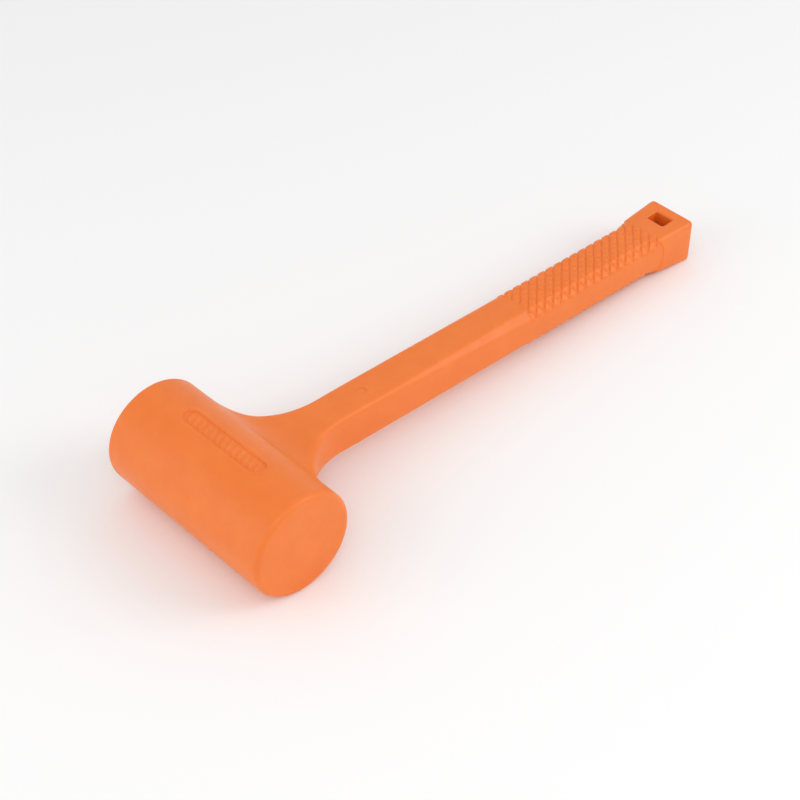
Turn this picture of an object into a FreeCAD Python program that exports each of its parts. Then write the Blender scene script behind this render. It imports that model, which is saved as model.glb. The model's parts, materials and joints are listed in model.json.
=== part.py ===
"""Dead blow mallet: a steel canister of loose shot and its handle rod, cast inside one polyurethane jacket.

Millimetres, +Z up. The mallet is drawn about the centre of its head, with the handle along +X and the
striking faces on -Y and +Y, and is then laid on the ground on its head and the foot of its handle.
"""
import FreeCAD
import Part
import math
import os

V = FreeCAD.Vector

# Head: a plain cylinder with rounded rims, one striking face at each end.
HEAD_RADIUS = 30.0
HEAD_HALF = 59.4
HEAD_RIM = 3.1

# Neck: a web that flares in plan from the handle to the head, with a fillet where it meets the cylinder.
WEB_HALF_WIDTH = 11.0
WEB_HALF_THICKNESS = 11.4
FLARE_RADIUS = 43.5
FLARE_END_X = 69.0
FILLET_RADIUS = 22.0

# Handle sections: (x, half width, half thickness, chamfer).
SHAFT_SECTIONS = [
    (60.0, 10.8, 11.35, 0.6),
    (200.0, 14.0, 12.3, 5.0),
    (205.0, 14.0, 12.3, 5.0),
]
BUTT_SECTIONS = [
    (303.0, 14.0, 12.3, 5.0),
    (306.0, 14.0, 12.3, 5.0),
    (312.0, 14.8, 12.4, 2.2),
    (336.0, 15.9, 13.4, 1.3),
    (338.1, 14.2, 12.0, 1.0),
]

# Grip: diamond pads on the top and bottom facets and their chamfers, between two families of grooves.
GRIP_START = 205.0
GRIP_END = 311.0
GRIP_HALF_WIDTH = 14.0
GRIP_HALF_THICKNESS = 12.3
GRIP_CHAMFER = 5.0
PAD_RISE = 0.35
GROOVE_START = 202.5
GROOVE_PITCH = 6.65
GROOVE_WIDTH = 1.3
GROOVE_ANGLE = 43.4

# Hang slot through the foot of the handle.
SLOT_X = 326.0
SLOT_LENGTH = 9.0
SLOT_WIDTH = 12.0
SLOT_CORNER = 1.0

# Small locating-pin dimple in the top of the handle.
DIMPLE_X = 91.0
DIMPLE_RADIUS = 2.8
DIMPLE_DEPTH = 0.5

# Recessed panel along the top of the head, with plain slanted ribs.
PANEL_HALF_LENGTH = 29.8
PANEL_HALF_WIDTH = 4.9
PANEL_DEPTH = 0.7
RIB_COUNT = 13
RIB_PITCH = 4.0
RIB_WIDTH = 1.4
RIB_RISE = 0.4
RIB_ANGLE = 20.0
RIB_MARGIN = 1.3

# Steel canister inside the head.
TUBE_RADIUS = 24.15
TUBE_WALL = 2.6
TUBE_HALF = 49.0
CAP_SETBACK = 2.0
CAP_THICKNESS = 4.0
CAP_GAP = 0.05

# Steel rod inside the handle, coped to the canister and welded to it.
ROD_RADIUS = 6.0
ROD_END_X = 314.0
ROD_END_CHAMFER = 1.0
WELD_START_X = 20.0
WELD_START_RADIUS = 11.5
WELD_END_X = 28.5
WELD_END_RADIUS = 6.4

# Loose steel shot, in staggered layers.
BALL_RADIUS = 3.0
BALL_PITCH = 6.08
BALL_WALL_GAP = 0.2
LAYER_COUNT = 12


def section_points(x, half_width, half_thickness, chamfer):
    """Corners of a chamfered rectangle across the handle at x."""
    inner = half_width - chamfer
    shoulder = half_thickness - chamfer
    corners = [
        (half_width, shoulder),
        (inner, half_thickness),
        (-inner, half_thickness),
        (-half_width, shoulder),
        (-half_width, -shoulder),
        (-inner, -half_thickness),
        (inner, -half_thickness),
        (half_width, -shoulder),
    ]
    return [V(x, y, z) for y, z in corners]


def polygon_face(points):
    return Part.Face(Part.makePolygon(points + [points[0]]))


def solid_through(sections):
    """Flat-faced solid through a row of sections that have the same number of corners."""
    rings = [section_points(*values) for values in sections]
    faces = [polygon_face(rings[0]), polygon_face(rings[-1])]
    for first, second in zip(rings, rings[1:]):
        count = len(first)
        for i in range(count):
            j = (i + 1) % count
            faces.append(polygon_face([first[i], first[j], second[j], second[i]]))
    solid = Part.Solid(Part.Shell(faces))
    if solid.Volume < 0:
        solid.reverse()
    return solid


def cylinder_y(radius, start, end):
    """Cylinder on the head's axis from y = start to y = end."""
    return Part.makeCylinder(radius, end - start, V(0, start, 0), V(0, 1, 0))


def cylinder_x(radius, start, end):
    """Cylinder on the handle's axis from x = start to x = end."""
    return Part.makeCylinder(radius, end - start, V(start, 0, 0), V(1, 0, 0))


def arc_through(centre, radius, start_angle, end_angle, point):
    """Arc edge about centre; point turns an angle into a position on it."""
    middle = (start_angle + end_angle) / 2
    return Part.Arc(
        point(centre, radius, start_angle),
        point(centre, radius, middle),
        point(centre, radius, end_angle),
    ).toShape()


def in_plan(centre, radius, angle):
    turn = math.radians(angle)
    return V(centre[0] + radius * math.cos(turn), centre[1] + radius * math.sin(turn), -HEAD_RADIUS)


def in_side(centre, radius, angle):
    turn = math.radians(angle)
    return V(centre[0] + radius * math.cos(turn), -HEAD_HALF, centre[1] + radius * math.sin(turn))


def make_head():
    head = cylinder_y(HEAD_RADIUS, -HEAD_HALF, HEAD_HALF)
    rims = [edge for edge in head.Edges if edge.Closed and abs(abs(edge.CenterOfMass.y) - HEAD_HALF) < 0.1]
    return head.makeFillet(HEAD_RIM, rims)


def make_neck_plan():
    """The web seen from above, as a tall block: straight at the handle, flared by two arcs at the head."""
    reach = WEB_HALF_WIDTH + FLARE_RADIUS
    back = 5.0
    root = FLARE_END_X - FLARE_RADIUS
    level = -HEAD_RADIUS
    arc_far = arc_through((FLARE_END_X, reach), FLARE_RADIUS, 180.0, 270.0, in_plan)
    arc_near = arc_through((FLARE_END_X, -reach), FLARE_RADIUS, 90.0, 180.0, in_plan)
    edges = [
        Part.makeLine(V(back, -reach, level), V(back, reach, level)),
        Part.makeLine(V(back, reach, level), V(root, reach, level)),
        arc_far,
        Part.makeLine(V(FLARE_END_X, WEB_HALF_WIDTH, level), V(FLARE_END_X, -WEB_HALF_WIDTH, level)),
        arc_near,
        Part.makeLine(V(root, -reach, level), V(back, -reach, level)),
    ]
    face = Part.Face(Part.Wire(Part.__sortEdges__(edges)))
    return face.extrude(V(0, 0, 2 * HEAD_RADIUS))


def make_neck_side():
    """The web seen from the side, as a wide block: flat, with a fillet up and down onto the cylinder."""
    overlap = 0.02
    level = WEB_HALF_THICKNESS + FILLET_RADIUS
    centre_x = math.sqrt((HEAD_RADIUS + FILLET_RADIUS - overlap) ** 2 - level ** 2)
    slope = math.degrees(math.atan2(level, centre_x))
    touch = 180.0 + slope - 3.0
    arc_top = arc_through((centre_x, level), FILLET_RADIUS, touch, 270.0, in_side)
    arc_bottom = arc_through((centre_x, -level), FILLET_RADIUS, 360.0 - touch, 90.0, in_side)
    top_inner = in_side((centre_x, level), FILLET_RADIUS, touch)
    bottom_inner = in_side((centre_x, -level), FILLET_RADIUS, 360.0 - touch)
    top_web = V(centre_x, -HEAD_HALF, WEB_HALF_THICKNESS)
    bottom_web = V(centre_x, -HEAD_HALF, -WEB_HALF_THICKNESS)
    top_end = V(FLARE_END_X, -HEAD_HALF, WEB_HALF_THICKNESS)
    bottom_end = V(FLARE_END_X, -HEAD_HALF, -WEB_HALF_THICKNESS)
    back_top = V(15.0, -HEAD_HALF, 10.0)
    back_bottom = V(15.0, -HEAD_HALF, -10.0)
    edges = [
        arc_top,
        Part.makeLine(top_web, top_end),
        Part.makeLine(top_end, bottom_end),
        Part.makeLine(bottom_end, bottom_web),
        arc_bottom,
        Part.makeLine(bottom_inner, back_bottom),
        Part.makeLine(back_bottom, back_top),
        Part.makeLine(back_top, top_inner),
    ]
    face = Part.Face(Part.Wire(Part.__sortEdges__(edges)))
    return face.extrude(V(0, 2 * HEAD_HALF, 0))


def make_grooves():
    """Upright slabs that part the pads, in two crossing families."""
    slabs = []
    reach = 60.0
    low = GRIP_HALF_THICKNESS - GRIP_CHAMFER - 4.0
    high = GRIP_HALF_THICKNESS + 2.0
    overrun = 2
    count = int((GRIP_END - GROOVE_START) / GROOVE_PITCH) + 2 * overrun
    for angle in (GROOVE_ANGLE, -GROOVE_ANGLE):
        for i in range(count + 1):
            x = GROOVE_START + (i - overrun) * GROOVE_PITCH
            slab = Part.makeBox(reach, GROOVE_WIDTH, high - low, V(-reach / 2, -GROOVE_WIDTH / 2, low))
            slab.rotate(V(0, 0, 0), V(0, 0, 1), angle)
            slab.translate(V(x, 0, 0))
            slabs.append(slab)
    return slabs


def make_pads():
    """Diamond pads of the top of the grip. Their feet stand in the grip's core."""
    half_thickness = GRIP_HALF_THICKNESS + PAD_RISE
    chamfer = GRIP_CHAMFER + PAD_RISE - PAD_RISE * math.sqrt(2)
    foot = GRIP_HALF_THICKNESS - GRIP_CHAMFER - 3.0
    outline = [
        V(GRIP_START, GRIP_HALF_WIDTH, foot),
        V(GRIP_START, GRIP_HALF_WIDTH, half_thickness - chamfer),
        V(GRIP_START, GRIP_HALF_WIDTH - chamfer, half_thickness),
        V(GRIP_START, chamfer - GRIP_HALF_WIDTH, half_thickness),
        V(GRIP_START, -GRIP_HALF_WIDTH, half_thickness - chamfer),
        V(GRIP_START, -GRIP_HALF_WIDTH, foot),
    ]
    block = polygon_face(outline).extrude(V(GRIP_END - GRIP_START, 0, 0))
    return block.cut(make_grooves())


def make_grip():
    """Grip core at the floor of the grooves, with the pads above and below it."""
    core_half_thickness = GRIP_HALF_THICKNESS - PAD_RISE
    core_chamfer = GRIP_CHAMFER - PAD_RISE + PAD_RISE * math.sqrt(2)
    core = solid_through([
        (GRIP_START, GRIP_HALF_WIDTH, core_half_thickness, core_chamfer),
        (GRIP_END, GRIP_HALF_WIDTH, core_half_thickness, core_chamfer),
    ])
    top = make_pads()
    bottom = top.mirror(V(0, 0, 0), V(0, 0, 1))
    return core.fuse([top, bottom])


def stadium(half_length, half_width, low, high):
    """Upright block with a stadium outline, long along the head."""
    straight = half_length - half_width
    block = Part.makeBox(2 * half_width, 2 * straight, high - low, V(-half_width, -straight, low))
    ends = [Part.makeCylinder(half_width, high - low, V(0, y, low)) for y in (-straight, straight)]
    return block.fuse(ends)


def make_panel_pocket():
    block = stadium(PANEL_HALF_LENGTH, PANEL_HALF_WIDTH, HEAD_RADIUS - 3.0, HEAD_RADIUS + 1.0)
    return block.cut(cylinder_y(HEAD_RADIUS - PANEL_DEPTH, -HEAD_HALF, HEAD_HALF))


def make_panel_ribs():
    """Evenly spaced slanted ribs that stand on the floor of the panel."""
    inner = stadium(PANEL_HALF_LENGTH - RIB_MARGIN, PANEL_HALF_WIDTH - RIB_MARGIN,
                    HEAD_RADIUS - 3.0, HEAD_RADIUS + 1.0)
    shell = cylinder_y(HEAD_RADIUS - PANEL_DEPTH + RIB_RISE, -HEAD_HALF, HEAD_HALF)
    field = inner.common(shell)
    ribs = []
    for i in range(RIB_COUNT):
        y = (i - (RIB_COUNT - 1) / 2) * RIB_PITCH
        rib = Part.makeBox(40.0, RIB_WIDTH, 8.0, V(-20.0, -RIB_WIDTH / 2, HEAD_RADIUS - 4.0))
        rib.rotate(V(0, 0, 0), V(0, 0, 1), RIB_ANGLE)
        rib.translate(V(0, y, 0))
        ribs.append(rib.common(field))
    return ribs


def make_slot():
    """Hang slot: a rectangle with rounded corners, right through the foot."""
    half_x = SLOT_LENGTH / 2
    half_y = SLOT_WIDTH / 2
    slot = Part.makeBox(SLOT_LENGTH, SLOT_WIDTH, 60.0, V(SLOT_X - half_x, -half_y, -30.0))
    upright = [edge for edge in slot.Edges if abs(edge.tangentAt(edge.FirstParameter).z) > 0.9]
    return slot.makeFillet(SLOT_CORNER, upright)


def make_canister():
    """Solid outline of the closed canister, used to open the jacket around it."""
    return cylinder_y(TUBE_RADIUS, -TUBE_HALF, TUBE_HALF)


def make_tube():
    return make_canister().cut(cylinder_y(TUBE_RADIUS - TUBE_WALL, -TUBE_HALF - 1, TUBE_HALF + 1))


def make_cap(side):
    """End disc inside the tube, set back from its rim."""
    outer = TUBE_HALF - CAP_SETBACK
    inner = outer - CAP_THICKNESS
    low = min(side * inner, side * outer)
    return cylinder_y(TUBE_RADIUS - TUBE_WALL - CAP_GAP, low, low + CAP_THICKNESS)


def make_cap_weld(side):
    """Fillet bead in the corner between the end disc and the tube."""
    bore = TUBE_RADIUS - TUBE_WALL
    foot = side * (TUBE_HALF - CAP_SETBACK)
    rim = side * (TUBE_HALF - 0.2)
    outline = [V(bore, foot, 0), V(bore, rim, 0), V(bore - CAP_SETBACK, foot, 0)]
    return polygon_face(outline).revolve(V(0, 0, 0), V(0, 1, 0), 360)


def make_rod():
    """Round rod with a coped root and a chamfered end."""
    body = cylinder_x(ROD_RADIUS, 15.0, ROD_END_X)
    tip = [edge for edge in body.Edges if edge.Closed and abs(edge.CenterOfMass.x - ROD_END_X) < 0.1]
    return body.makeChamfer(ROD_END_CHAMFER, tip).cut(make_canister())


def make_rod_weld():
    """Fillet bead around the root of the rod."""
    length = WELD_END_X - WELD_START_X
    cone = Part.makeCone(WELD_START_RADIUS, WELD_END_RADIUS, length, V(WELD_START_X, 0, 0), V(1, 0, 0))
    return cone.cut(make_canister()).cut(cylinder_x(ROD_RADIUS, 10.0, WELD_END_X + 10.0))


def make_jacket():
    neck = make_neck_plan().common(make_neck_side())
    shaft = solid_through(SHAFT_SECTIONS)
    butt = solid_through(BUTT_SECTIONS)
    skin = make_head().fuse([neck, shaft, make_grip(), butt])
    skin = skin.cut(make_slot())
    skin = skin.cut(make_panel_pocket())
    skin = skin.fuse(make_panel_ribs())
    top = dimple_top()
    dimple = Part.makeCone(DIMPLE_RADIUS - DIMPLE_DEPTH, DIMPLE_RADIUS + DIMPLE_DEPTH, 2 * DIMPLE_DEPTH,
                           V(DIMPLE_X, 0, top - DIMPLE_DEPTH))
    skin = skin.cut(dimple)
    skin = skin.cut([make_canister(), make_rod(), make_rod_weld()])
    return skin.removeSplitter()


def dimple_top():
    """Height of the shaft's top facet at the dimple."""
    start, end = SHAFT_SECTIONS[0], SHAFT_SECTIONS[1]
    share = (DIMPLE_X - start[0]) / (end[0] - start[0])
    return start[2] + share * (end[2] - start[2])


def layer_sites(staggered):
    """Ball centres of one layer, as (x, z), on a triangular grid inside the bore."""
    limit = TUBE_RADIUS - TUBE_WALL - BALL_RADIUS - BALL_WALL_GAP
    shift_x = BALL_PITCH / 2 if staggered else 0.0
    shift_z = BALL_PITCH / (2 * math.sqrt(3)) if staggered else 0.0
    span = int(limit / BALL_PITCH) + 3
    sites = []
    for row in range(-span, span + 1):
        for column in range(-span, span + 1):
            x = BALL_PITCH * (column + (row % 2) / 2) + shift_x
            z = BALL_PITCH * row * math.sqrt(3) / 2 + shift_z
            if math.hypot(x, z) <= limit:
                sites.append((x, z))
    return sites


def make_shot_layer(index):
    spacing = BALL_PITCH * math.sqrt(2.0 / 3.0)
    y = (index - (LAYER_COUNT - 1) / 2) * spacing
    balls = [Part.makeSphere(BALL_RADIUS, V(x, y, z)) for x, z in layer_sites(index % 2 == 1)]
    return Part.makeCompound(balls)


def lie_down(shape):
    """Lays the mallet on the ground: head and foot on z = 0, centred over the origin."""
    foot_x, foot_drop = BUTT_SECTIONS[-2][0], BUTT_SECTIONS[-2][2]
    reach = math.hypot(foot_x, foot_drop)
    tilt = math.asin(HEAD_RADIUS / reach) - math.atan2(foot_drop, foot_x)
    end_x, end_up = BUTT_SECTIONS[-1][0], BUTT_SECTIONS[-1][2]
    far_x = end_x * math.cos(tilt) + end_up * math.sin(tilt)
    middle = (far_x - HEAD_RADIUS) / 2
    laid = shape.copy()
    laid.rotate(V(0, 0, 0), V(0, 1, 0), math.degrees(tilt))
    laid.translate(V(-middle, 0, HEAD_RADIUS))
    return laid


def main():
    shapes = {
        "jacket": make_jacket(),
        "canister_tube": make_tube(),
        "cap_near": make_cap(-1),
        "cap_far": make_cap(1),
        "cap_weld_near": make_cap_weld(-1),
        "cap_weld_far": make_cap_weld(1),
        "handle_core": make_rod(),
        "core_weld": make_rod_weld(),
    }
    for index in range(LAYER_COUNT):
        shapes["shot_layer_%02d" % (index + 1)] = make_shot_layer(index)
    os.makedirs("parts", exist_ok=True)
    for name, shape in shapes.items():
        laid = lie_down(shape)
        laid.exportStep("parts/%s.step" % name)
        box = laid.BoundBox
        print("%-15s solids %3d volume %10.1f valid %s x %.2f %.2f y %.2f %.2f z %.2f %.2f" % (
            name, len(laid.Solids), laid.Volume, laid.isValid(),
            box.XMin, box.XMax, box.YMin, box.YMax, box.ZMin, box.ZMax))


main()
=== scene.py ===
"""Looks of a dead blow mallet: a moulded orange jacket over a steel canister of shot and its handle rod.

The jacket's skin is written as a distance field in millimetres, about the centre of the head with the
handle along +X and the striking faces on -Y and +Y, and is turned into a mesh and laid on the CAD frame.
"""

import json
import math

import bmesh
import bpy
import numpy as np
from mathutils import Matrix, Vector


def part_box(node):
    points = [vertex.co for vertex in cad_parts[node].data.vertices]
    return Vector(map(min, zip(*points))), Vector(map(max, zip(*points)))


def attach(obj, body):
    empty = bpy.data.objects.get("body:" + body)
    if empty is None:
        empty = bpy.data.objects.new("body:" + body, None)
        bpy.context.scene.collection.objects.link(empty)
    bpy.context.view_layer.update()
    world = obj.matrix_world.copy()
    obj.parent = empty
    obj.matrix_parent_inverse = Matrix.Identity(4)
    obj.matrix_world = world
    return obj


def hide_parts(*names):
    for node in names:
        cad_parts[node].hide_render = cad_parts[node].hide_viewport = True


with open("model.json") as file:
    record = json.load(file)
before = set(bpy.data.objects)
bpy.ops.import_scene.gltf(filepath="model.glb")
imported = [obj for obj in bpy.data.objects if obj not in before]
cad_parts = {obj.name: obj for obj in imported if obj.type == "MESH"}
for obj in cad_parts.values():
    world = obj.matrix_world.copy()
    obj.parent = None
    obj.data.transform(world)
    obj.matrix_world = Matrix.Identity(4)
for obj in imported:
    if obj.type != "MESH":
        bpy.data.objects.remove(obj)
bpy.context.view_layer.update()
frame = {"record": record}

MM = 0.001

# Head
HEAD_RADIUS = 30.0
HEAD_HALF = 59.4
HEAD_RIM = 3.1

# Neck: a web that flares toward the head in plan, to FLARE_REACH each side, and is filleted onto it
WEB_HALF_WIDTH = 11.0
WEB_HALF_THICKNESS = 11.4
FLARE_RADIUS = 42.0
FLARE_END_X = 69.0
FLARE_REACH = 53.0
FILLET_RADIUS = 22.0
FILLET_SINK_TURN = 0.3
NECK_BLEND = 2.2
NECK_BLEND_LEAST = 0.1
NECK_BLEND_FADE = (-4.0, 2.0)
NECK_SOFTNESS = 6.0
NECK_SOFT_END_X = 78.0

# Handle; each table holds (x, value) along its length
SHAFT_END_X = 338.1
HALF_WIDTH = [(69.0, 11.0), (200.0, 13.9), (310.0, 14.15), (338.1, 15.6)]
HALF_THICKNESS = [(60.0, 11.4), (200.0, 12.3), (310.0, 12.3), (338.1, 13.5)]
CHAMFER = [(60.0, 0.6), (200.0, 5.0), (305.0, 5.0), (311.5, 2.2), (338.1, 1.2)]
EDGE_SOFTNESS = 1.0
END_CORNER = 3.0
END_SOFTNESS = 2.0
END_SOFT_LENGTH = 4.0

# Grip: two families of slanted grooves leave diamond pads
GRIP_START = 205.0
GRIP_END = 310.8
GROOVE_START = 202.5
GROOVE_PITCH = 6.65
GROOVE_ANGLE = 43.4
GROOVE_HALF_WIDTH = 0.55
PAD_RISE = 0.35
PAD_CROWN = 0.2
GROOVE_DEPTHS = (0.62, 0.42)
GRIP_START_FADE = 0.5
GRIP_END_FADE = 0.8
GRIP_EDGE_FADE = (-0.6, 0.5)

# Foot: its sides stand proud of the grip's and meet them in an arc
FOOT_ARC_X = 298.3
FOOT_ARC_RADIUS = 16.0
FOOT_STEP = 0.45
FOOT_STEP_FADE = (-0.35, 0.25)

# Hang slot
SLOT_X = 326.0
SLOT_HALF_LENGTH = 4.5
SLOT_HALF_WIDTH = 6.0
SLOT_CORNER = 1.0
SLOT_LIP = 1.4

# Dimple
DIMPLE_X = 91.0
DIMPLE_RADIUS = 2.8
DIMPLE_DEPTH = 0.5
DIMPLE_EDGE = 0.5

# Panel on the head
PANEL_HALF_LENGTH = 29.8
PANEL_HALF_WIDTH = 4.9
PANEL_DEPTH = 0.85
PANEL_WALL_FADE = (-0.3, 0.2)
PANEL_LIP = 0.3
PANEL_LIP_OFFSET = 0.8
PANEL_LIP_WIDTH = 0.5
RIB_PITCH = 4.0
RIB_HALF_WIDTH = 0.8
RIB_RISE = 0.55
RIB_FADE = 0.5
RIB_END_FADE = 0.4
RIB_ANGLE = 20.0
RIB_MARGIN = 1.3

# Steel canister that the jacket is cast around: a tube and its two end discs
TUBE_RADIUS = 24.15
TUBE_WALL = 2.6
TUBE_HALF = 49.0
TUBE_LIP = 0.5
CAP_SETBACK = 2.0
CAP_THICKNESS = 4.0
CAP_GAP = 0.05
CAP_EDGE = 0.4
CAP_DIMPLE_RADIUS = 1.6
CAP_DIMPLE_DEPTH = 1.0

# Steel rod in the handle
ROD_RADIUS = 6.0
ROD_END_X = 314.0
ROD_CHAMFER = 1.0
ROD_SIDE_START_X = 26.0

# Weld beads: plain fillets that swell in overlapping scales; a bead's lean shares the swell between its
# two directions
CAP_BEAD_TOP = 48.8
CAP_BEAD_SWELL = 0.28
CAP_BEAD_SINK = 0.1
CAP_BEAD_LIFT = 0.02
CAP_BEAD_LEAN = 0.7
CAP_BEAD_SCALES = 42
CORE_BEAD_X = 20.0
CORE_BEAD_RADIUS = 11.5
CORE_BEAD_END_X = 28.5
CORE_BEAD_END_RADIUS = 6.4
CORE_BEAD_SWELL = 0.45
CORE_BEAD_SINK = 1.2
CORE_BEAD_LEAN = (0.5, 0.85)
CORE_BEAD_SCALES = 22
SCALE_BEND = 0.9
SCALE_FOOT = 0.35

# Cavity's blend at the rod's root, pinhole left along an axis, gap between pieces that touch, and the
# angle in degrees over which an edge stays sharp
CAVITY_BLEND = 3.0
PINHOLE = 0.02
CONTACT_GAP = 0.01
SHARP_ANGLE = 35.0

# Loose shot, in staggered layers
BALL_RADIUS = 3.0
BALL_PITCH = 6.08
BALL_WALL_GAP = 0.2
BALL_UNEVENNESS = 0.03
LAYER_COUNT = 12

# Skin's mesh
CELL = 0.5
SKIN_FACES = 190000
SKIN_MARGIN = 3.0

# Sampling in blocks of cells: a block is sampled in full where the field at its middle is under
# BLOCK_REACH blocks, and holds only FAR_VALUE's sign elsewhere
BLOCK = 8
BLOCK_REACH = 1.2
BLOCKS_AT_ONCE = 400
FAR_VALUE = 100.0
CORNERS = [(i, j, k) for i in (0, 1) for j in (0, 1) for k in (0, 1)]

# Moving vertices onto the surface; the two moves are the most, in cells, before and after thinning
SLOPE_STEP = 0.02
SETTLE_PASSES = 4
LEAST_STEEPNESS = 0.5
FIRST_MOVE = 0.9
LAST_MOVE = 0.5

# Camera: its place in the mallet's own millimetres, and the direction behind it in the frame's axes
CAMERA_PLACE = (-451.33, -594.38, 674.80)
CAMERA_BACK = (-0.50014, -0.55464, 0.66501)
CAMERA_ROLL = -1.374
CAMERA_LENS = 89.96
CAMERA_SENSOR = 36.0

# Studio, with lengths in metres
FLOOR_SIZE = 6.0
WORLD_STRENGTH = 0.75
LIGHT_DISTANCE = 1.5
LIGHT_TARGET = (0.0, 0.0, 0.03)


def placement():
    """Matrix from the mallet's own millimetres to the CAD frame's metres, read from the frame."""
    low, high = (Vector(corner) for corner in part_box("canister_tube"))
    head = (low + high) / 2
    slot = next(Vector(m["pos_m"]) for m in frame["record"]["mounts"] if m["name"] == "hang_slot")
    tilt = math.atan2(head.z - slot.z, slot.x - head.x)
    return Matrix.Translation(head) @ Matrix.Rotation(tilt, 4, "Y") @ Matrix.Scale(MM, 4)


PLACE = placement()


# ---------------------------------------------------------------- distance fields

def smooth_max(a, b, width):
    """The larger of two fields, with their edge rounded over width."""
    overlap = np.maximum(width - np.abs(a - b), 0.0) / width
    return np.maximum(a, b) + overlap * overlap * width / 4


def smooth_min(a, b, width):
    """The smaller of two fields, with their corner filled over width."""
    return -smooth_max(-a, -b, width)


def rounded_corner(a, b, radius):
    """Where two fields overlap, with an arc of that radius along their edge."""
    outer = np.hypot(np.maximum(a + radius, 0.0), np.maximum(b + radius, 0.0))
    return np.minimum(np.maximum(a, b), -radius) + outer


def ramp(value, start, end):
    """0 before start, 1 after end, and an S-curve between."""
    share = np.clip((value - start) / (end - start), 0.0, 1.0)
    return share * share * (3.0 - 2.0 * share)


def along(x, table):
    """Value at x, read between the table's (x, value) pairs."""
    places, values = zip(*table)
    return np.interp(x, places, values)


def head(x, y, z):
    """Cylinder across the handle, with rounded rims."""
    return rounded_corner(np.hypot(x, z) - HEAD_RADIUS, np.abs(y) - HEAD_HALF, HEAD_RIM)


def handle_side(x, y, z):
    """Outside of the handle's two sides: flared by arcs at the neck, stepped by an arc at the foot."""
    across = np.abs(y)
    flare = FLARE_RADIUS - np.hypot(x - FLARE_END_X, across - WEB_HALF_WIDTH - FLARE_RADIUS)
    arc = FOOT_ARC_X + np.sqrt(np.maximum(FOOT_ARC_RADIUS ** 2 - z * z, 0.0))
    foot = FOOT_STEP * ramp(x - arc, *FOOT_STEP_FADE)
    straight = across - along(x, HALF_WIDTH) - foot
    return np.where(x < FLARE_END_X, flare, straight)


def handle_top(x, z):
    """Outside of the handle's top and bottom: flat, then a fillet onto the head, then inside the head."""
    up = np.abs(z)
    level = WEB_HALF_THICKNESS + FILLET_RADIUS
    centre = math.sqrt((HEAD_RADIUS + FILLET_RADIUS) ** 2 - level ** 2)
    flat = up - along(x, HALF_THICKNESS)
    fillet = FILLET_RADIUS - np.hypot(x - centre, up - level)
    past = np.arctan2(up, x) - math.atan2(level, centre)
    crown = np.hypot(x, z) - HEAD_RADIUS + NECK_BLEND * ramp(past, 0.0, FILLET_SINK_TURN)
    return np.where(x > centre, flat, np.where(past > 0.0, crown, fillet))


def to_nearest(across, pitch):
    """Distance to the nearest of a row of parallel lines that lie one pitch apart."""
    return np.abs((across / pitch + 0.5) % 1.0 - 0.5) * pitch


def line_height(across, pitch):
    """Two heights that start from 0 at each groove: a steep rise to 1, and a crown midway between grooves."""
    distance = to_nearest(across, pitch)
    wall = 1.0 - np.exp(-((distance / GROOVE_HALF_WIDTH) ** 2))
    crown = np.sin(math.pi * distance / pitch)
    return wall, crown


def grip_relief(x, y, z):
    """How far the diamond pads stand out of the plain handle; negative in the grooves."""
    turn = math.radians(GROOVE_ANGLE)
    pitch = GROOVE_PITCH * math.sin(turn)
    lengthwise = (x - GROOVE_START) * math.sin(turn)
    wall_a, crown_a = line_height(lengthwise - y * math.cos(turn), pitch)
    wall_b, crown_b = line_height(lengthwise + y * math.cos(turn), pitch)
    groove = np.maximum(GROOVE_DEPTHS[0] * (1.0 - wall_a), GROOVE_DEPTHS[1] * (1.0 - wall_b))
    pads = PAD_RISE + PAD_CROWN * (crown_a * crown_b - 0.5) - groove
    begun = ramp(x, GRIP_START - GRIP_START_FADE, GRIP_START + GRIP_START_FADE)
    ended = ramp(x, GRIP_END - GRIP_END_FADE, GRIP_END + GRIP_END_FADE)
    inside = begun * (1.0 - ended)
    shoulder = along(x, HALF_THICKNESS) - along(x, CHAMFER)
    return pads * inside * ramp(np.abs(z) - shoulder, *GRIP_EDGE_FADE)


def handle(x, y, z):
    """The web, shaft, grip and foot, with chamfers between their sides and their top and bottom."""
    side = handle_side(x, y, z)
    top = handle_top(x, z)
    chamfer = (side + top + along(x, CHAMFER)) / math.sqrt(2.0)
    softness = EDGE_SOFTNESS + NECK_SOFTNESS * (1.0 - ramp(x, HEAD_RADIUS, NECK_SOFT_END_X))
    softness = softness + END_SOFTNESS * ramp(x, SHAFT_END_X - END_SOFT_LENGTH, SHAFT_END_X)
    plan = rounded_corner(side, x - SHAFT_END_X, END_CORNER)
    body = smooth_max(smooth_max(plan, top, softness), chamfer, EDGE_SOFTNESS)
    body = body - grip_relief(x, y, z)
    return np.maximum(body, np.where(x < FLARE_END_X, np.abs(y) - FLARE_REACH, -1.0))


def neck_blend(x, y, z):
    """Width of the blend between head and handle: next to nothing above and below the web, where the fillet
    already meets the head, and full beside it."""
    beside = ramp(handle_side(x, y, z) - handle_top(x, z), *NECK_BLEND_FADE)
    return NECK_BLEND_LEAST + NECK_BLEND * beside


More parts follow.
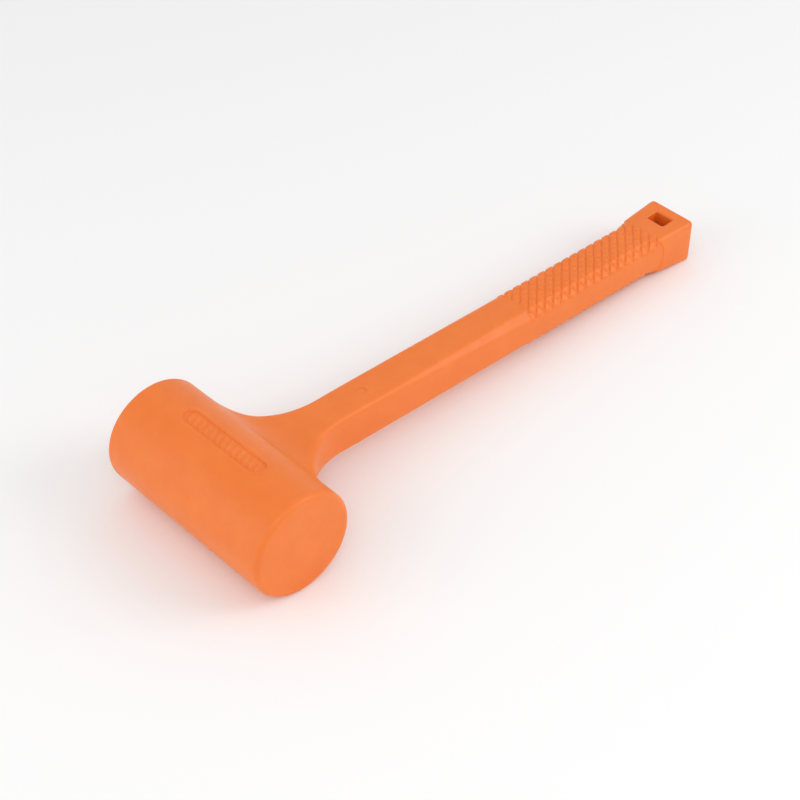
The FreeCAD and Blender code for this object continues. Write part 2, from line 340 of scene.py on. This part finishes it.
def panel_relief(x, y, z):
    """The shallow stadium-shaped panel along the top of the head, with its lip and its slanted ribs."""
    lateral = HEAD_RADIUS * np.arctan2(x, np.maximum(z, 0.1))
    straight = PANEL_HALF_LENGTH - PANEL_HALF_WIDTH
    edge = np.hypot(np.maximum(np.abs(y) - straight, 0.0), lateral) - PANEL_HALF_WIDTH
    floor = -PANEL_DEPTH * (1.0 - ramp(edge, *PANEL_WALL_FADE))
    lip = PANEL_LIP * np.exp(-(((edge - PANEL_LIP_OFFSET) / PANEL_LIP_WIDTH) ** 2))
    turn = math.radians(RIB_ANGLE)
    across = y * math.cos(turn) - lateral * math.sin(turn)
    distance = to_nearest(across, RIB_PITCH)
    rib = RIB_RISE * (1.0 - ramp(distance, RIB_HALF_WIDTH - RIB_FADE, RIB_HALF_WIDTH + RIB_FADE))
    rib = rib * (1.0 - ramp(edge, -RIB_MARGIN - RIB_END_FADE, -RIB_MARGIN + RIB_END_FADE))
    return np.where(z > 0.0, floor + lip + rib, 0.0)


def slot(x, y):
    """Outline of the hang slot: a rectangle with rounded corners."""
    dx = np.abs(x - SLOT_X) - SLOT_HALF_LENGTH
    dy = np.abs(y) - SLOT_HALF_WIDTH
    return rounded_corner(dx, dy, SLOT_CORNER)


def dimple(x, y, z):
    """Shallow round dimple in the top of the handle, left by a pin of the mould."""
    floor = along(DIMPLE_X, HALF_THICKNESS) - DIMPLE_DEPTH
    return np.maximum(np.hypot(x - DIMPLE_X, y) - DIMPLE_RADIUS, floor - z)


def skeleton(x, y, z):
    """The steel inside: the closed canister and the rod."""
    canister = np.maximum(np.hypot(x, z) - TUBE_RADIUS, np.abs(y) - TUBE_HALF)
    rod = np.maximum(np.maximum(np.hypot(y, z) - ROD_RADIUS, x - ROD_END_X), -x)
    return smooth_min(canister, rod, CAVITY_BLEND)


def jacket_field(x, y, z):
    """The whole jacket: negative in the polyurethane, positive outside it and where the steel lies."""
    body = head(x, y, z) - panel_relief(x, y, z)
    body = smooth_min(body, handle(x, y, z), neck_blend(x, y, z))
    body = smooth_max(body, -slot(x, y), SLOT_LIP)
    body = smooth_max(body, -dimple(x, y, z), DIMPLE_EDGE)
    return np.maximum(body, -skeleton(x, y, z))


# ---------------------------------------------------------------- field to mesh

def sample_near_surface(field, low, counts, cell):
    """Field values on a grid, exact in the blocks that the surface may cross and only signed elsewhere."""
    middles = [low[i] + (np.arange(counts[i] // BLOCK) + 0.5) * BLOCK * cell for i in range(3)]
    coarse = field(*np.meshgrid(*middles, indexing="ij"))
    signed = np.sign(coarse).astype(np.float32) * FAR_VALUE
    values = np.full([n + 1 for n in counts], FAR_VALUE, dtype=np.float32)
    for axis in range(3):
        signed = np.repeat(signed, BLOCK, axis=axis)
    values[:-1, :-1, :-1] = signed
    reach = BLOCK * cell * BLOCK_REACH
    steps = np.arange(BLOCK + 1)
    near = np.argwhere(np.abs(coarse) < reach) * BLOCK
    for part in np.array_split(near, max(1, len(near) // BLOCKS_AT_ONCE)):
        index = [part[:, i, None] + steps[None, :] for i in range(3)]
        grid = (index[0][:, :, None, None], index[1][:, None, :, None], index[2][:, None, None, :])
        place = np.broadcast_arrays(*[low[i] + grid[i] * cell for i in range(3)])
        values[grid] = field(*place)
    return values


def crossed_cells(inside):
    """The cells with some corners inside and some outside, and a grid that holds each one's number."""
    width, depth, height = (n - 1 for n in inside.shape)
    filled = sum(inside[i:i + width, j:j + depth, k:k + height].astype(np.int8) for i, j, k in CORNERS)
    active = (filled > 0) & (filled < len(CORNERS))
    cells = np.argwhere(active)
    number = np.full(active.shape, -1, dtype=np.int32)
    number[active] = np.arange(len(cells))
    return cells, number


def middle_crossing(values, cells):
    """Mean of the points where the surface cuts each cell's edges, as shares of the cell."""
    total = np.zeros((len(cells), 3))
    crossings = np.zeros(len(cells))
    for start in CORNERS:
        for axis in range(3):
            if start[axis]:
                continue
            end = list(start)
            end[axis] = 1
            a = values[tuple((cells + start).T)]
            b = values[tuple((cells + end).T)]
            cut = (a < 0.0) != (b < 0.0)
            share = np.where(cut, a / np.where(cut, a - b, 1.0), 0.0)
            point = np.array(start, dtype=float)[None, :].repeat(len(cells), axis=0)
            point[:, axis] = share
            total += point * cut[:, None]
            crossings += cut
    return total / crossings[:, None]


def cut_edge_quads(inside, number, axis):
    """Outward-facing quads, one around each grid edge along that axis that the surface cuts."""
    u = np.eye(3, dtype=int)[(axis + 1) % 3]
    v = np.eye(3, dtype=int)[(axis + 2) % 3]
    first = np.take(inside, range(inside.shape[axis] - 1), axis=axis)
    second = np.take(inside, range(1, inside.shape[axis]), axis=axis)
    at = np.argwhere(first != second)
    around = [number[tuple((at - shift).T)] for shift in (0 * u, u, u + v, v)]
    ring = np.stack(around, axis=1)
    outward = first[tuple(at.T)]
    ring[~outward] = ring[~outward][:, ::-1]
    return ring


def surface_nets(values, low, cell):
    """One vertex in each cell that the surface crosses, and one quad across each grid edge that it cuts."""
    inside = values < 0.0
    cells, number = crossed_cells(inside)
    vertices = np.array(low) + cell * (cells + middle_crossing(values, cells))
    quads = [cut_edge_quads(inside, number, axis) for axis in range(3)]
    return vertices, np.concatenate(quads)


def slope(field, points):
    """Values, unit normals and steepness of the field at the points."""
    value = field(*points.T)
    columns = []
    for axis in range(3):
        shift = np.zeros(3)
        shift[axis] = SLOPE_STEP
        columns.append((field(*(points + shift).T) - field(*(points - shift).T)) / (2 * SLOPE_STEP))
    gradient = np.stack(columns, axis=1)
    length = np.linalg.norm(gradient, axis=1, keepdims=True)
    return value, gradient / np.maximum(length, 1e-6), length[:, 0]


def settle(field, points, limit):
    """Moves each point onto the field's surface, by no more than limit in all."""
    start = points.copy()
    for _ in range(SETTLE_PASSES):
        value, normal, steepness = slope(field, points)
        points = points - normal * (value / np.maximum(steepness, LEAST_STEEPNESS))[:, None]
        moved = points - start
        length = np.linalg.norm(moved, axis=1, keepdims=True)
        points = start + moved * np.minimum(1.0, limit / np.maximum(length, 1e-9))
    return points


def coordinates(mesh):
    """Places of the mesh's vertices, one to a row."""
    flat = np.empty(len(mesh.vertices) * 3)
    mesh.vertices.foreach_get("co", flat)
    return flat.reshape(-1, 3)


def mesh_object(name, vertices, faces):
    """New object in the scene, with a mesh of those vertices and faces."""
    mesh = bpy.data.meshes.new(name)
    mesh.from_pydata(vertices, [], faces)
    piece = bpy.data.objects.new(name, mesh)
    bpy.context.scene.collection.objects.link(piece)
    return piece


def join_frame(piece, node, body, material):
    """Gives the piece its material and puts it in the frame in the place of a CAD node."""
    piece.data.materials.append(material)
    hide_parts(node)
    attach(piece, body)


def thin(piece, faces):
    """Collapses edges until about that many triangles are left, most of them where the shape is busy."""
    triangles = sum(len(p.vertices) - 2 for p in piece.data.polygons)
    if triangles <= faces:
        return
    collapse = piece.modifiers.new("thin", "DECIMATE")
    collapse.ratio = faces / triangles
    evaluated = piece.evaluated_get(bpy.context.evaluated_depsgraph_get())
    mesh = bpy.data.meshes.new_from_object(evaluated)
    piece.modifiers.clear()
    old = piece.data
    piece.data = mesh
    bpy.data.meshes.remove(old)


def field_piece(name, field, low, high, cell, faces):
    """Object whose surface is where the field is zero, with the field's own normals."""
    counts = [int(math.ceil((high[i] - low[i]) / (cell * BLOCK))) * BLOCK for i in range(3)]
    values = sample_near_surface(field, low, counts, cell)
    vertices, quads = surface_nets(values, low, cell)
    vertices = settle(field, vertices, FIRST_MOVE * cell)
    piece = mesh_object(name, vertices.tolist(), quads.tolist())
    thin(piece, faces)
    mesh = piece.data
    points = settle(field, coordinates(mesh), LAST_MOVE * cell)
    normal = slope(field, points)[1]
    mesh.vertices.foreach_set("co", points.ravel())
    mesh.update()
    mesh.shade_smooth()
    mesh.transform(PLACE)
    turned = normal @ np.array(PLACE.to_3x3().normalized()).T
    mesh.normals_split_custom_set_from_vertices(turned.tolist())
    return piece


def make_jacket():
    """The one visible piece: the whole orange moulding."""
    across = HEAD_RADIUS + SKIN_MARGIN
    sideways = HEAD_HALF + SKIN_MARGIN
    low = (-across, -sideways, -across)
    high = (SHAFT_END_X + SKIN_MARGIN, sideways, across)
    piece = field_piece("moulded_jacket", jacket_field, low, high, CELL, SKIN_FACES)
    join_frame(piece, "jacket", "mallet", polyurethane())


# ---------------------------------------------------------------- steel parts

def loop_piece(name, rings):
    """Closed surface through a closed row of rings, each of which is a closed row of points."""
    points = np.array(rings)
    count, width = points.shape[:2]
    number = np.arange(count * width).reshape(count, width)
    after = np.roll(number, -1, axis=0)
    quads = np.stack([number, after, np.roll(after, -1, axis=1), np.roll(number, -1, axis=1)], axis=-1)
    piece = mesh_object(name, points.reshape(-1, 3).tolist(), quads.reshape(-1, 4).tolist())
    finish_steel(piece)
    return piece


def finish_steel(piece):
    """Turns the faces outward, keeps only sharp corners sharp, and lays the piece on the frame."""
    mesh = piece.data
    work = bmesh.new()
    work.from_mesh(mesh)
    bmesh.ops.recalc_face_normals(work, faces=work.faces)
    work.to_mesh(mesh)
    work.free()
    mesh.shade_smooth()
    mesh.set_sharp_from_angle(angle=math.radians(SHARP_ANGLE))
    mesh.transform(PLACE)


def turned_about_y(profile, segments):
    """Rings of a closed outline of (radius, y) turned about the head's axis."""
    rings = []
    for i in range(segments):
        angle = 2 * math.pi * i / segments
        rings.append([(r * math.sin(angle), y, r * math.cos(angle)) for r, y in profile])
    return rings


def round_corner(corner, toward_a, toward_b, radius, steps=4):
    """Points of a smooth curve that cuts the corner, that far back along both of its sides."""
    corner, a, b = (np.array(p, dtype=float) for p in (corner, toward_a, toward_b))
    start = corner + radius * (a - corner) / np.linalg.norm(a - corner)
    end = corner + radius * (b - corner) / np.linalg.norm(b - corner)
    curve = []
    for i in range(steps + 1):
        share = i / steps
        point = (1 - share) ** 2 * start + 2 * share * (1 - share) * corner + share ** 2 * end
        curve.append(tuple(point))
    return curve


def rounded_outline(corners, radius):
    """Closed outline with every corner rounded."""
    outline = []
    for i, corner in enumerate(corners):
        outline += round_corner(corner, corners[i - 1], corners[(i + 1) % len(corners)], radius)
    return outline


def make_tube():
    """Drawn tube along the head, open at both ends, with its edges broken."""
    inner = TUBE_RADIUS - TUBE_WALL
    corners = [(inner, -TUBE_HALF), (TUBE_RADIUS, -TUBE_HALF), (TUBE_RADIUS, TUBE_HALF), (inner, TUBE_HALF)]
    outline = rounded_outline(corners, TUBE_LIP)
    piece = loop_piece("drawn_tube", turned_about_y(outline, segments=128))
    join_frame(piece, "canister_tube", "mallet", drawn_steel())


def make_cap(name, node, side, material):
    """End disc with broken edges and a small centre dimple left by the lathe."""
    outer = TUBE_HALF - CAP_SETBACK
    inner = outer - CAP_THICKNESS
    rim = TUBE_RADIUS - TUBE_WALL - CAP_GAP
    outline = [(PINHOLE, inner), (rim - CAP_EDGE, inner), (rim, inner + CAP_EDGE), (rim, outer - CAP_EDGE),
               (rim - CAP_EDGE, outer), (CAP_DIMPLE_RADIUS, outer), (PINHOLE, outer - CAP_DIMPLE_DEPTH)]
    piece = loop_piece(name, turned_about_y([(r, side * y) for r, y in outline], segments=96))
    join_frame(piece, node, "mallet", material)


def ripple(turn, share, count):
    """Height, 0 to 1, of the overlapping half-moon scales that a weld bead freezes into.

    turn is how far round the bead a point is, share how far across it, and count how many scales it has.
    """
    phase = (turn * count + SCALE_BEND * (share - 0.5) ** 2 * 4) % 1.0
    return 4.0 * share * (1.0 - share) * (SCALE_FOOT + (1.0 - SCALE_FOOT) * phase)


def make_cap_bead(name, node, side, material):
    """Rippled fillet bead in the corner between the end disc and the tube."""
    bore = TUBE_RADIUS - TUBE_WALL
    foot = TUBE_HALF - CAP_SETBACK
    segments = 480
    steps = 10
    rings = []
    for i in range(segments):
        turn = i / segments
        profile = [(bore, foot)]
        for j in range(steps + 1):
            share = j / steps
            swell = CAP_BEAD_SWELL * ripple(turn, share, CAP_BEAD_SCALES) - CAP_BEAD_SINK
            radius = bore - CAP_SETBACK * share + CAP_BEAD_LIFT - swell * CAP_BEAD_LEAN
            height = CAP_BEAD_TOP + (foot - CAP_BEAD_TOP) * share + swell * CAP_BEAD_LEAN
            profile.append((min(radius, bore), min(max(height, foot), CAP_BEAD_TOP)))
        angle = 2 * math.pi * turn
        rings.append([(r * math.sin(angle), side * y, r * math.cos(angle)) for r, y in profile])
    piece = loop_piece(name, rings)
    join_frame(piece, node, "mallet", material)


def on_rod(x, radius, angle):
    """Point beside the rod's axis, that far from it and at that angle about it."""
    return (x, radius * math.cos(angle), radius * math.sin(angle))


def root_x(radius, angle):
    """Where a line along the handle, that far from its axis, meets the canister."""
    return math.sqrt(TUBE_RADIUS ** 2 - (radius * math.sin(angle)) ** 2)


def bead_toe(angle):
    """Where the bead around the rod's root runs out on the canister, as (x, distance from the rod's axis)."""
    fall = (CORE_BEAD_RADIUS - CORE_BEAD_END_RADIUS) / (CORE_BEAD_END_X - CORE_BEAD_X)
    radius = CORE_BEAD_END_RADIUS
    for _ in range(30):
        x = root_x(radius, angle)
        radius = CORE_BEAD_RADIUS - fall * (x - CORE_BEAD_X)
    return x, radius


def make_core_bead():
    """Rippled fillet bead around the root of the rod."""
    segments = 320
    steps = 12
    rings = []
    for i in range(segments):
        turn = i / segments
        angle = 2 * math.pi * turn
        toe_x, toe_radius = bead_toe(angle)
        ring = [on_rod(root_x(ROD_RADIUS, angle) + CONTACT_GAP, ROD_RADIUS + CONTACT_GAP, angle)]
        for j in range(steps + 1):
            share = j / steps
            dip = CORE_BEAD_SINK * share * (1.0 - share)
            swell = CORE_BEAD_SWELL * ripple(turn, share, CORE_BEAD_SCALES) - dip
            x = toe_x + (CORE_BEAD_END_X - toe_x) * share + swell * CORE_BEAD_LEAN[0]
            radius = toe_radius + (CORE_BEAD_END_RADIUS - toe_radius) * share + swell * CORE_BEAD_LEAN[1]
            x = max(x, root_x(radius, angle) + CONTACT_GAP)
            ring.append(on_rod(min(x, CORE_BEAD_END_X), radius, angle))
        ring.append(on_rod(CORE_BEAD_END_X, ROD_RADIUS + CONTACT_GAP, angle))
        rings.append(ring)
    piece = loop_piece("rod_root_bead", rings)
    join_frame(piece, "core_weld", "mallet", weld_metal())


def make_rod():
    """Round bar: its root coped to the canister, its end chamfered."""
    segments = 96
    root_radii = (PINHOLE, 2.0, 4.0, ROD_RADIUS)
    end_radii = (ROD_RADIUS - ROD_CHAMFER, 2.5, PINHOLE)
    side_places = np.linspace(ROD_SIDE_START_X, ROD_END_X - ROD_CHAMFER, 40)
    rings = []
    for i in range(segments):
        angle = 2 * math.pi * i / segments
        ring = [on_rod(root_x(r, angle) + CONTACT_GAP, r, angle) for r in root_radii]
        ring += [on_rod(x, ROD_RADIUS, angle) for x in side_places]
        ring += [on_rod(ROD_END_X, r, angle) for r in end_radii]
        rings.append(ring)
    piece = loop_piece("round_bar", rings)
    join_frame(piece, "handle_core", "mallet", bar_steel())


# ---------------------------------------------------------------- shot

def layer_sites(staggered):
    """Ball centres of one layer, as (x, z), on a triangular grid inside the bore."""
    limit = TUBE_RADIUS - TUBE_WALL - BALL_RADIUS - BALL_WALL_GAP
    shift_x = BALL_PITCH / 2 if staggered else 0.0
    shift_z = BALL_PITCH / (2 * math.sqrt(3)) if staggered else 0.0
    span = int(limit / BALL_PITCH) + 3
    sites = []
    for row in range(-span, span + 1):
        for column in range(-span, span + 1):
            x = BALL_PITCH * (column + (row % 2) / 2) + shift_x
            z = BALL_PITCH * row * math.sqrt(3) / 2 + shift_z
            if math.hypot(x, z) <= limit:
                sites.append((x, z))
    return sites


def unit_ball():
    """Vertices and faces of a fine round ball of radius 1."""
    work = bmesh.new()
    bmesh.ops.create_icosphere(work, subdivisions=3, radius=1.0)
    vertices = np.array([v.co[:] for v in work.verts])
    faces = [[v.index for v in f.verts] for f in work.faces]
    work.free()
    return vertices, faces


def make_shot_layer(index, ball, material):
    """One layer of cast shot; every ball is a little out of round in its own way."""
    rng = np.random.default_rng(index + 1)
    directions, triangles = ball
    y = (index - (LAYER_COUNT - 1) / 2) * BALL_PITCH * math.sqrt(2.0 / 3.0)
    vertices = []
    faces = []
    for x, z in layer_sites(index % 2 == 1):
        waves = rng.normal(size=(3, 3))
        bumps = sum(np.cos(directions @ (2.5 * wave) + 2.0 * wave[0]) for wave in waves) / 3.0
        radius = BALL_RADIUS - BALL_UNEVENNESS * (1.0 - bumps)
        start = len(vertices) * len(directions)
        faces += [[start + i for i in triangle] for triangle in triangles]
        vertices.append(np.array([x, y, z]) + directions * radius[:, None])
    number = "%02d" % (index + 1)
    piece = mesh_object("cast_shot_" + number, np.concatenate(vertices).tolist(), faces)
    piece.data.shade_smooth()
    piece.data.transform(PLACE)
    join_frame(piece, "shot_layer_" + number, "shot_charge", material)


# ---------------------------------------------------------------- materials

def new_material(name):
    """New material, its node tree and its Principled shader."""
    material = bpy.data.materials.new(name)
    material.use_nodes = True
    return material, material.node_tree, material.node_tree.nodes["Principled BSDF"]


def surface_place(tree, stretch=(1.0, 1.0, 1.0)):
    """Object coordinates in millimetres, stretched along each axis."""
    where = tree.nodes.new("ShaderNodeTexCoord")
    scaled = tree.nodes.new("ShaderNodeMapping")
    scaled.inputs["Scale"].default_value = [value / MM for value in stretch]
    tree.links.new(where.outputs["Object"], scaled.inputs["Vector"])
    return scaled.outputs["Vector"]


def noise(tree, place, per_mm, detail, roughness):
    """Noise with that many features in a millimetre."""
    node = tree.nodes.new("ShaderNodeTexNoise")
    node.inputs["Scale"].default_value = per_mm
    node.inputs["Detail"].default_value = detail
    node.inputs["Roughness"].default_value = roughness
    tree.links.new(place, node.inputs["Vector"])
    return node.outputs["Fac"]


def remap(tree, value, source, result):
    """Stretches the range source = (low, high) to the range result, and holds it there."""
    node = tree.nodes.new("ShaderNodeMapRange")
    node.inputs["From Min"].default_value, node.inputs["From Max"].default_value = source
    node.inputs["To Min"].default_value, node.inputs["To Max"].default_value = result
    tree.links.new(value, node.inputs["Value"])
    return node.outputs["Result"]


def combine(tree, operation, *values):
    """Math node on sockets or plain numbers, in order."""
    node = tree.nodes.new("ShaderNodeMath")
    node.operation = operation
    for socket, value in zip(node.inputs, values):
        if isinstance(value, float):
            socket.default_value = value
        else:
            tree.links.new(value, socket)
    return node.outputs["Value"]


def vector_math(tree, operation, socket, constant=None):
    """Vector Math node on a socket and, where it takes two vectors, a constant."""
    node = tree.nodes.new("ShaderNodeVectorMath")
    node.operation = operation
    tree.links.new(socket, node.inputs[0])
    if constant is not None:
        node.inputs[1].default_value = constant
    return node


def shades(tree, value, stops):
    """Colour ramp through (position, colour) stops."""
    node = tree.nodes.new("ShaderNodeValToRGB")
    ramp_stops = node.color_ramp.elements
    while len(ramp_stops) < len(stops):
        ramp_stops.new(0.5)
    for element, (position, colour) in zip(ramp_stops, stops):
        element.position = position
        element.color = (*colour, 1.0)
    tree.links.new(value, node.inputs["Fac"])
    return node.outputs["Color"]


def bump(tree, height, distance_mm, below=None):
    """Normal of a relief that many millimetres high, on top of the one below."""
    node = tree.nodes.new("ShaderNodeBump")
    node.inputs["Strength"].default_value = 1.0
    node.inputs["Distance"].default_value = distance_mm * MM
    tree.links.new(height, node.inputs["Height"])
    if below is not None:
        tree.links.new(below, node.inputs["Normal"])
    return node.outputs["Normal"]


def polyurethane():
    """Semi-matte orange polyurethane: faint flow mottling, fine moulded grain and small scuffs."""
    material, tree, shader = new_material("orange_polyurethane")
    place = surface_place(tree)
    mottling = noise(tree, place, per_mm=0.06, detail=3.0, roughness=0.55)
    grain = noise(tree, place, per_mm=2.2, detail=2.0, roughness=0.6)
    ripples = noise(tree, place, per_mm=0.35, detail=2.0, roughness=0.5)
    streaks = noise(tree, surface_place(tree, (1.0, 0.35, 1.0)), per_mm=1.1, detail=4.0, roughness=0.7)
    scuffs = remap(tree, streaks, (0.62, 0.74), (0.0, 1.0))
    colour = shades(tree, mottling, [(0.3, (0.845, 0.184, 0.017)), (0.52, (0.865, 0.195, 0.020)),
                                     (0.72, (0.885, 0.207, 0.025))])
    tree.links.new(colour, shader.inputs["Base Color"])
    moulded = remap(tree, ripples, (0.3, 0.7), (0.40, 0.47))
    dulled = combine(tree, "ADD", moulded, combine(tree, "MULTIPLY", scuffs, 0.12))
    tree.links.new(dulled, shader.inputs["Roughness"])
    dented = bump(tree, ripples, 0.06)
    scratched = bump(tree, scuffs, 0.012, dented)
    tree.links.new(bump(tree, grain, 0.022, scratched), shader.inputs["Normal"])
    shader.inputs["Subsurface Weight"].default_value = 0.3
    shader.inputs["Subsurface Radius"].default_value = (1.0, 0.35, 0.1)
    shader.inputs["Subsurface Scale"].default_value = 0.002
    return material


def steel(name, place, per_mm, colours, shine, depth_mm):
    """Bare steel: colour and shine follow its grain and broad patches, relief follows the grain."""
    material, tree, shader = new_material(name)
    grain = noise(tree, place(tree), per_mm, detail=4.0, roughness=0.65)
    patches = noise(tree, surface_place(tree), per_mm=0.09, detail=3.0, roughness=0.6)
    mixed = combine(tree, "MULTIPLY_ADD", grain, 0.5, combine(tree, "MULTIPLY", patches, 0.5))
    tree.links.new(shades(tree, mixed, colours), shader.inputs["Base Color"])
    tree.links.new(remap(tree, mixed, (0.3, 0.7), shine), shader.inputs["Roughness"])
    tree.links.new(bump(tree, grain, depth_mm), shader.inputs["Normal"])
    shader.inputs["Metallic"].default_value = 1.0
    return material


def drawn_steel():
    """Draw marks along the tube under a thin grey oxide."""
    return steel("drawn_steel", lambda tree: surface_place(tree, (1.0, 0.03, 1.0)), per_mm=2.5,
                 colours=[(0.35, (0.27, 0.275, 0.29)), (0.5, (0.42, 0.425, 0.44)),
                          (0.68, (0.55, 0.55, 0.56))],
                 shine=(0.3, 0.46), depth_mm=0.02)


def lathe_rings(tree):
    """Distance from the canister's axis, so that noise falls into turning rings."""
    low, high = (Vector(corner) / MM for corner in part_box("canister_tube"))
    offset = vector_math(tree, "SUBTRACT", surface_place(tree), (low + high) / 2)
    across = vector_math(tree, "MULTIPLY", offset.outputs["Vector"], (1.0, 0.0, 1.0))
    return vector_math(tree, "LENGTH", across.outputs["Vector"]).outputs["Value"]


def turned_steel():
    """Bright disc with fine rings from the lathe."""
    return steel("turned_steel", lathe_rings, per_mm=3.0,
                 colours=[(0.35, (0.40, 0.405, 0.42)), (0.5, (0.55, 0.555, 0.57)),
                          (0.68, (0.66, 0.66, 0.67))],
                 shine=(0.22, 0.36), depth_mm=0.03)


def bar_steel():
    """Hot-rolled bar: blue-grey mill scale with brown specks."""
    return steel("bar_steel", lambda tree: surface_place(tree, (0.25, 1.0, 1.0)), per_mm=0.9,
                 colours=[(0.32, (0.20, 0.11, 0.07)), (0.4, (0.13, 0.135, 0.155)),
                          (0.55, (0.20, 0.21, 0.235)), (0.7, (0.32, 0.33, 0.35))],
                 shine=(0.42, 0.62), depth_mm=0.05)


def weld_metal():
    """Weld bead: grey with straw and blue heat tints."""
    return steel("weld_metal", surface_place, per_mm=0.5,
                 colours=[(0.35, (0.16, 0.17, 0.26)), (0.48, (0.36, 0.355, 0.36)),
                          (0.58, (0.42, 0.33, 0.20)), (0.72, (0.46, 0.45, 0.44))],
                 shine=(0.28, 0.5), depth_mm=0.04)


def shot_steel():
    """Cast steel shot, each ball a little lighter or darker than the next."""
    material, tree, shader = new_material("shot_steel")
    pits = noise(tree, surface_place(tree), per_mm=1.6, detail=4.0, roughness=0.6)
    island = tree.nodes.new("ShaderNodeNewGeometry")
    own_share = island.outputs["Random Per Island"]
    tone = combine(tree, "MULTIPLY_ADD", own_share, 0.5, combine(tree, "MULTIPLY", pits, 0.5))
    colour = shades(tree, tone, [(0.15, (0.28, 0.28, 0.29)), (0.5, (0.42, 0.42, 0.43)),
                                 (0.85, (0.58, 0.575, 0.56))])
    tree.links.new(colour, shader.inputs["Base Color"])
    tree.links.new(remap(tree, pits, (0.3, 0.7), (0.26, 0.44)), shader.inputs["Roughness"])
    tree.links.new(bump(tree, pits, 0.05), shader.inputs["Normal"])
    shader.inputs["Metallic"].default_value = 1.0
    return material


# ---------------------------------------------------------------- stage

def aim(thing, place, target, roll=0.0):
    """Puts a camera or light at place, facing target, and rolls it about its line of sight."""
    look = (Vector(target) - Vector(place)).to_track_quat("-Z", "Y").to_matrix().to_4x4()
    thing.matrix_world = Matrix.Translation(place) @ look @ Matrix.Rotation(roll, 4, "Z")


def make_camera():
    """Long lens, high in front of the near striking face and to the left."""
    data = bpy.data.cameras.new("camera")
    data.lens = CAMERA_LENS
    data.sensor_width = CAMERA_SENSOR
    data.clip_start = 0.05
    camera = bpy.data.objects.new("camera", data)
    bpy.context.scene.collection.objects.link(camera)
    bpy.context.scene.camera = camera
    place = PLACE @ Vector(CAMERA_PLACE)
    aim(camera, place, place - Vector(CAMERA_BACK), math.radians(CAMERA_ROLL))


def make_floor():
    """Pale matt paper under the mallet."""
    bpy.ops.mesh.primitive_plane_add(size=FLOOR_SIZE)
    floor = bpy.context.object
    floor.name = "floor"
    material, _, shader = new_material("floor_paper")
    shader.inputs["Base Color"].default_value = (0.95, 0.95, 0.95, 1.0)
    shader.inputs["Roughness"].default_value = 0.9
    floor.data.materials.append(material)


def make_area_light(name, direction, size, power):
    """Soft square light, in that direction from the mallet."""
    data = bpy.data.lights.new(name, "AREA")
    data.shape = "SQUARE"
    data.size = size
    data.energy = power
    light = bpy.data.objects.new(name, data)
    bpy.context.scene.collection.objects.link(light)
    target = Vector(LIGHT_TARGET)
    aim(light, target + LIGHT_DISTANCE * Vector(direction).normalized(), target)


def make_world():
    """Even white surroundings, as in a light tent."""
    world = bpy.data.worlds.new("studio")
    bpy.context.scene.world = world
    world.use_nodes = True
    background = world.node_tree.nodes["Background"]
    background.inputs["Color"].default_value = (1.0, 1.0, 1.0, 1.0)
    background.inputs["Strength"].default_value = WORLD_STRENGTH


def make_lights():
    """Soft light from all round, and three soft boxes."""
    make_world()
    make_area_light("right", (0.52, -0.65, 0.55), size=0.8, power=5.5)
    make_area_light("left", (-0.80, 0.25, 0.36), size=1.0, power=3.5)
    make_area_light("front", (-0.45, -0.50, 0.74), size=0.5, power=2.5)


def make_inside():
    """Everything that the jacket hides."""
    make_tube()
    disc_steel = turned_steel()
    bead_steel = weld_metal()
    for end, side in (("near", -1), ("far", 1)):
        make_cap("end_disc_" + end, "cap_" + end, side, disc_steel)
        make_cap_bead("disc_bead_" + end, "cap_weld_" + end, side, bead_steel)
    make_rod()
    make_core_bead()
    ball = unit_ball()
    metal = shot_steel()
    for index in range(LAYER_COUNT):
        make_shot_layer(index, ball, metal)


make_camera()
make_floor()
make_lights()
make_jacket()
make_inside()
bpy.context.scene.view_settings.view_transform = "Standard"
